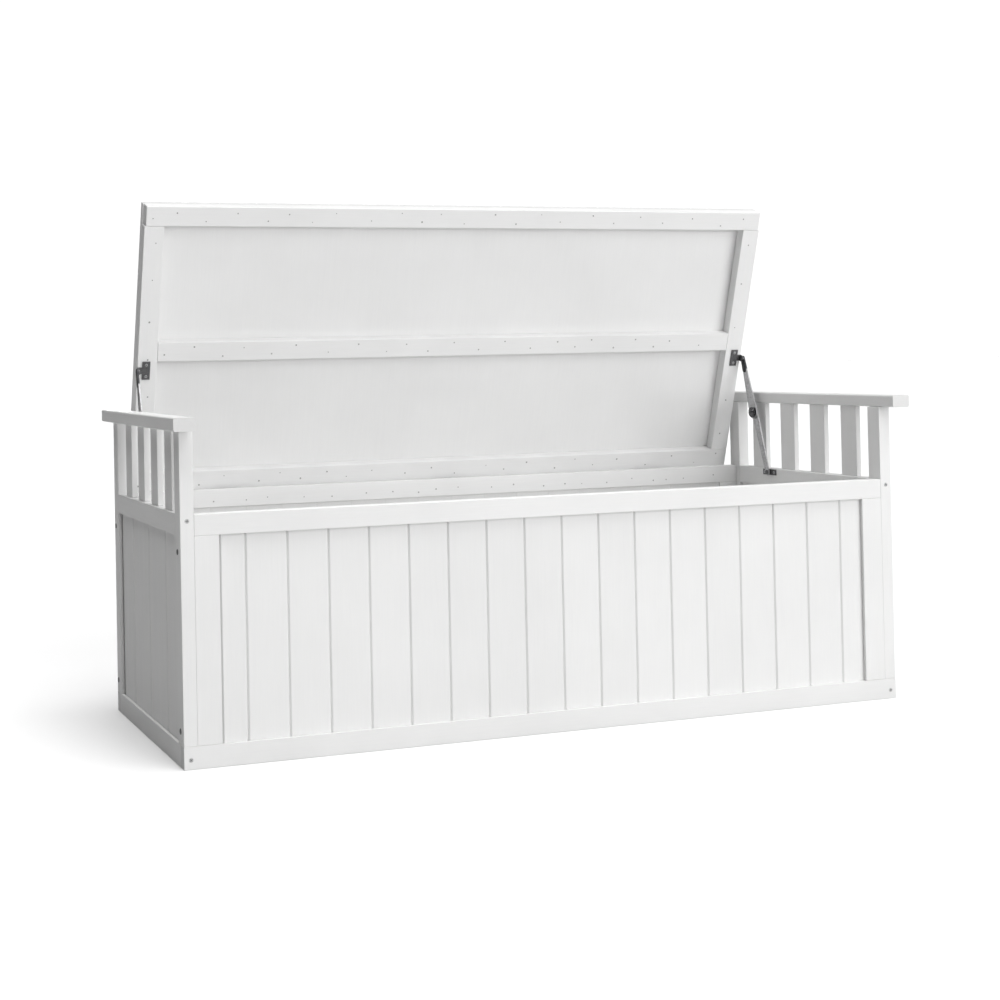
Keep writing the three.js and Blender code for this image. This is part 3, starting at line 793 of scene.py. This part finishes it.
def bar_outline(start, end, start_radius, end_radius, steps=14):
    """Outline of a bar with round ends between two (Y, Z) points."""
    run = Vector(end) - Vector(start)
    turn = math.atan2(run.y, run.x)
    lean = math.acos((start_radius - end_radius) / run.length)
    points = []
    arcs = (
        (end, end_radius, turn - lean, 2 * lean),
        (start, start_radius, turn + lean, 2 * math.pi - 2 * lean),
    )
    for middle, radius, first, sweep in arcs:
        for step in range(steps + 1):
            angle = first + sweep * step / steps
            points.append((middle[0] + radius * math.cos(angle), middle[1] + radius * math.sin(angle)))
    return points


def pressed_arm(node, name, start, end, start_radius, end_radius, body):
    """A flat steel arm with a channel pressed into both faces, in place of its CAD bar."""
    low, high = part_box(node)
    outer, rim, floor = (
        bar_outline(start, end, start_radius - inset, end_radius - inset)
        for inset in (0, ARM_RIM, ARM_RIM + ARM_CHANNEL)
    )
    bm = bmesh.new()
    layers = [
        ring(bm, floor, low.x + ARM_CHANNEL),
        ring(bm, rim, low.x),
        ring(bm, outer, low.x),
        ring(bm, outer, high.x),
        ring(bm, rim, high.x),
        ring(bm, floor, high.x - ARM_CHANNEL),
    ]
    for lower, upper in zip(layers, layers[1:]):
        bridge(bm, lower, upper)
    bm.faces.new(layers[0])
    bm.faces.new(layers[-1])
    mesh = mesh_from(name, bm, Matrix.Identity(4))
    piece = object_from(name, mesh, zinc, body, [node])
    soften(piece, METAL_EDGE, 2)


def arm_clip(side_name, head, knee):
    """A dark spring clip folded round the lid end of the upper arm."""
    low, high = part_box(f"stay_upper_arm_{side_name}")
    run = Vector(knee) - Vector(head)
    foot = Vector(head) + run.normalized() * CLIP_LENGTH
    share = CLIP_LENGTH / run.length
    radius = ARM_END_RADIUS + CLIP_THICKNESS
    widening = (UPPER_KNEE_RADIUS - ARM_END_RADIUS) * share * CLIP_TAPER
    end_radius = ARM_END_RADIUS + widening + CLIP_THICKNESS
    outline = bar_outline(head, foot, radius, end_radius)
    bm = bmesh.new()
    layers = [ring(bm, outline, x) for x in (low.x - CLIP_THICKNESS / 2, high.x + CLIP_THICKNESS / 2)]
    bridge(bm, *layers)
    for layer in layers:
        bm.faces.new(layer)
    mesh = mesh_from(f"stay_clip_{side_name}", bm, Matrix.Identity(4))
    piece = object_from(mesh.name, mesh, black_steel, f"stay_upper_{side_name}")
    soften(piece, METAL_EDGE / 2, 2)


def knee_knob(side_name, side):
    """A turned cap on the knee's inner side: a rim, a sunk ring and a domed crown."""
    low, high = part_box(f"stay_knee_rivet_{side_name}")
    knee = JOINTS[f"stay_knee_{side_name}"]["pos_m"]
    top = low.x if side > 0 else high.x
    bm = bmesh.new()
    loops = []
    for radius, depth in KNOB_PROFILE:
        x = top + side * depth * MM
        outline = circle(radius * MM, KNOB_STEPS)
        loops.append([bm.verts.new((x, knee[1] + a, knee[2] + b)) for a, b in outline])
    for lower, upper in zip(loops, loops[1:]):
        bridge(bm, lower, upper)
    bm.faces.new(loops[0])
    bm.faces.new(loops[-1])
    mesh = mesh_from(f"stay_knob_{side_name}", bm, Matrix.Identity(4))
    piece = object_from(mesh.name, mesh, knob_steel, f"stay_lower_{side_name}")
    for polygon in piece.data.polygons:
        polygon.use_smooth = True
    normals = piece.modifiers.new("normals", "WEIGHTED_NORMAL")
    normals.keep_sharp = True


def stay_arms():
    for side_name, side in SIDES:
        foot = JOINTS[f"stay_foot_{side_name}"]["pos_m"][1:]
        knee = JOINTS[f"stay_knee_{side_name}"]["pos_m"][1:]
        _, arm_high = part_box(f"stay_upper_arm_{side_name}")
        head = (arm_high.y - ARM_END_RADIUS, arm_high.z - ARM_END_RADIUS)
        pressed_arm(
            f"stay_lower_arm_{side_name}", f"stay_lower_{side_name}_arm", foot, knee,
            FOOT_RADIUS, LOWER_KNEE_RADIUS, f"stay_lower_{side_name}",
        )
        pressed_arm(
            f"stay_upper_arm_{side_name}", f"stay_upper_{side_name}_arm", head, knee,
            ARM_END_RADIUS, UPPER_KNEE_RADIUS, f"stay_upper_{side_name}",
        )
        arm_clip(side_name, head, knee)
        knee_knob(side_name, side)


# ---------- Floor, light and camera ----------


def stage_floor():
    """A plain pale floor, white to the camera and duller in what it throws back on the bench."""
    bm = bmesh.new()
    bmesh.ops.create_grid(bm, x_segments=1, y_segments=1, size=FLOOR_REACH)
    mesh = mesh_from("studio_floor", bm, Matrix.Identity(4))
    floor = bpy.data.objects.new("studio_floor", mesh)
    bpy.context.scene.collection.objects.link(floor)
    material, nodes, links, shader = new_material("studio_floor")
    rays = nodes.new("ShaderNodeLightPath")
    tone = nodes.new("ShaderNodeMix")
    tone.data_type = "RGBA"
    tone.inputs["A"].default_value = (FLOOR_BOUNCE, FLOOR_BOUNCE, FLOOR_BOUNCE, 1)
    tone.inputs["B"].default_value = (FLOOR_WHITE, FLOOR_WHITE, FLOOR_WHITE, 1)
    links.new(rays.outputs["Is Camera Ray"], tone.inputs["Factor"])
    links.new(tone.outputs["Result"], shader.inputs["Base Color"])
    shader.inputs["Roughness"].default_value = 0.95
    shader.inputs["Specular IOR Level"].default_value = 0.0
    mesh.materials.append(material)


def sun(name, towards, strength, spread):
    """A soft distant light; towards runs from the bench to the light, spread is in degrees."""
    data = bpy.data.lights.new(name, "SUN")
    data.energy = strength
    data.angle = math.radians(spread)
    light = bpy.data.objects.new(name, data)
    bpy.context.scene.collection.objects.link(light)
    light.rotation_mode = "QUATERNION"
    light.rotation_quaternion = Vector(towards).to_track_quat("Z", "Y")


def softbox(name, place, aim, size, power):
    """A square panel of light at place, turned towards aim."""
    data = bpy.data.lights.new(name, "AREA")
    data.shape = "SQUARE"
    data.size = size
    data.energy = power
    light = bpy.data.objects.new(name, data)
    bpy.context.scene.collection.objects.link(light)
    light.location = place
    light.rotation_mode = "QUATERNION"
    light.rotation_quaternion = (Vector(place) - Vector(aim)).to_track_quat("Z", "Y")


def studio_world(ambient, backdrop):
    """Soft ambient light, in front of a plain white backdrop."""
    world = bpy.data.worlds.new("studio")
    bpy.context.scene.world = world
    world.use_nodes = True
    nodes, links = world.node_tree.nodes, world.node_tree.links
    soft = nodes["Background"]
    soft.inputs["Color"].default_value = (1, 1, 1, 1)
    soft.inputs["Strength"].default_value = ambient
    white = nodes.new("ShaderNodeBackground")
    white.inputs["Color"].default_value = (1, 1, 1, 1)
    white.inputs["Strength"].default_value = backdrop
    rays = nodes.new("ShaderNodeLightPath")
    mix = nodes.new("ShaderNodeMixShader")
    links.new(rays.outputs["Is Camera Ray"], mix.inputs["Fac"])
    links.new(soft.outputs["Background"], mix.inputs[1])
    links.new(white.outputs["Background"], mix.inputs[2])
    links.new(mix.outputs["Shader"], nodes["World Output"].inputs["Surface"])


def camera():
    """The camera stands in front of the left end, turned towards the bench."""
    yaw, pitch, roll = (math.radians(angle) for angle in (CAMERA_YAW, CAMERA_PITCH, CAMERA_ROLL))
    ahead = Vector((math.sin(yaw) * math.cos(pitch), math.cos(yaw) * math.cos(pitch), math.sin(pitch)))
    right = Vector((math.cos(yaw), -math.sin(yaw), 0))
    up = right.cross(ahead)
    rolled_right = math.cos(roll) * right + math.sin(roll) * up
    rolled_up = -math.sin(roll) * right + math.cos(roll) * up
    data = bpy.data.cameras.new("camera")
    data.lens = CAMERA_LENS
    data.sensor_width = SENSOR_WIDTH
    data.shift_x, data.shift_y = CAMERA_SHIFT
    view = bpy.data.objects.new("camera", data)
    bpy.context.scene.collection.objects.link(view)
    posts_middle = (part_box("post_front_left")[0].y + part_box("post_rear_left")[1].y) / 2
    place = Vector(CAMERA_FROM_POSTS) + Vector((0, posts_middle, 0))
    view.matrix_world = Matrix.Translation(place) @ axes(rolled_right, rolled_up, -ahead)
    bpy.context.scene.camera = view


def studio():
    """White backdrop, light from above and in front, and a weak light for the rear face."""
    stage_floor()
    studio_world(ambient=0.0, backdrop=1.05)
    sun("overhead", towards=(0.0, -0.1, 1.0), strength=3.25, spread=60)
    sun("front_high", towards=(0.2, -1.0, 0.7), strength=0.7, spread=30)
    sun("front_level", towards=(0.15, -1.0, 0.02), strength=1.05, spread=28)
    sun("rear_level", towards=(0.25, 1.0, 0.04), strength=0.8, spread=12)
    softbox("right_front", place=(3.0, -4.0, 1.5), aim=(0.0, 0.0, 0.5), size=2.5, power=80)
    camera()
    settings = bpy.context.scene.view_settings
    settings.view_transform = "Standard"
    settings.look = "None"


finish_nodes()
all_boards()
frame_screws()
end_bolts()
hinge_screws()
bracket_screws()
batten_nails()
rail_nails()
stay_arms()
studio()

bpy.context.view_layer.update()
